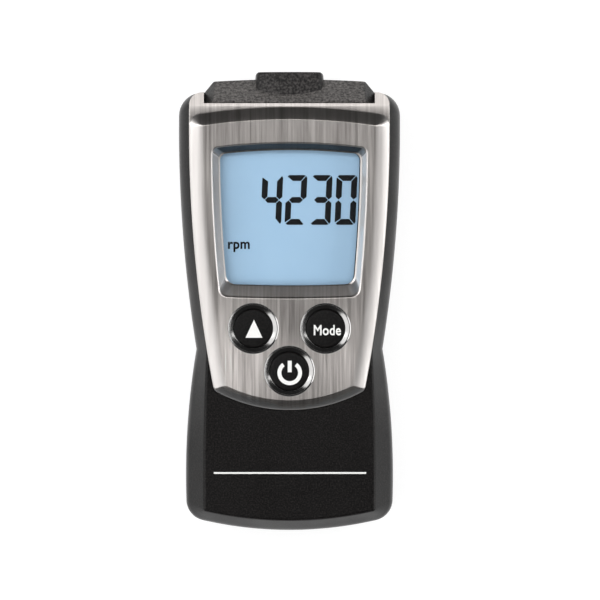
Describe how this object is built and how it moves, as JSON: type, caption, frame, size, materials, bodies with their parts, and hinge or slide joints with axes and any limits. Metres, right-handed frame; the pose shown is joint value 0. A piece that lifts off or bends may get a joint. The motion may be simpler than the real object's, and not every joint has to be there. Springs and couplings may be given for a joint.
{
  "type": "optical tachometer",
  "caption": "Pocket non-contact tachometer: waisted black housing, raised brushed plate with a display window and round keys, sensor nose at the top, sliding battery cover.",
  "frame": {"origin": "in the plane of the flat back, under the centre of the outline", "axes": "+X to the right of the display, +Y along the housing towards the sensor nose, +Z out of the display"},
  "size_m": [0.046, 0.095, 0.025],
  "materials": {
    "housing_plastic": "fine-grained moulded ABS",
    "head_plastic": "coarse-grained moulded ABS",
    "cover_plastic": "fine-grained moulded ABS",
    "brushed_plate": "brushed along the length, bevels polished",
    "key_ring": "polished dark chrome",
    "key_cap": "smooth matt, printed white mark",
    "pane": "clear, polished",
    "display": "reflective display glass, pale blue",
    "lens": "polished",
    "light_guide": "frosted acrylic",
    "frame_white": "moulded, plain",
    "contact_rubber": "layered conductive rubber",
    "seal_foam": "closed-cell foam",
    "board": "glass-fibre board with solder mask",
    "inner_black": "moulded, plain",
    "emitter_resin": "tinted clear resin",
    "receiver_resin": "tinted clear resin",
    "plated_metal": "nickel plated",
    "cell": "plain sleeve",
    "screw": "zinc plated"
  },
  "bodies": {
    "housing": {"rear_shell": "housing_plastic", "front_shell": "housing_plastic", "face_plate": "brushed_plate", "sensor_head": "head_plastic", "head_lens": "lens", "optic_tube": "inner_black", "light_emitter": "emitter_resin", "light_receiver": "receiver_resin", "sensor_board": "board", "board_link": "inner_black", "display_pane": "pane", "display_seal": "seal_foam", "display_glass": "display", "backlight": "light_guide", "display_frame": "frame_white", "contact_strips": "contact_rubber", "main_board": "board", "processor": "inner_black", "crystal": "plated_metal", "key_ring_up": "key_ring", "key_ring_mode": "key_ring", "key_ring_power": "key_ring", "switch_bodies": "inner_black", "cell_left": "cell", "cell_right": "cell", "contact_springs": "plated_metal", "contact_plates": "plated_metal", "shell_screws": "screw", "board_screws": "screw"},
    "up_key": {"key_up": "key_cap", "plunger_up": "frame_white"},
    "mode_key": {"key_mode": "key_cap", "plunger_mode": "frame_white"},
    "power_key": {"key_power": "key_cap", "plunger_power": "frame_white"},
    "cover": {"battery_cover": "cover_plastic"}
  },
  "joints": [
    {"name": "up_press", "type": "slide", "parent": "housing", "child": "up_key", "axis": [0, 0, -1], "range_m": [0, 0.0006], "stiffness_N_per_m": 1200, "springref_m": -0.0008},
    {"name": "mode_press", "type": "slide", "parent": "housing", "child": "mode_key", "axis": [0, 0, -1], "range_m": [0, 0.0006], "stiffness_N_per_m": 1200, "springref_m": -0.0008},
    {"name": "power_press", "type": "slide", "parent": "housing", "child": "power_key", "axis": [0, 0, -1], "range_m": [0, 0.0006], "stiffness_N_per_m": 1200, "springref_m": -0.0008},
    {"name": "cover_slide", "type": "slide", "parent": "housing", "child": "cover", "axis": [0, -1, 0], "range_m": [0, 0.053]}
  ]
}
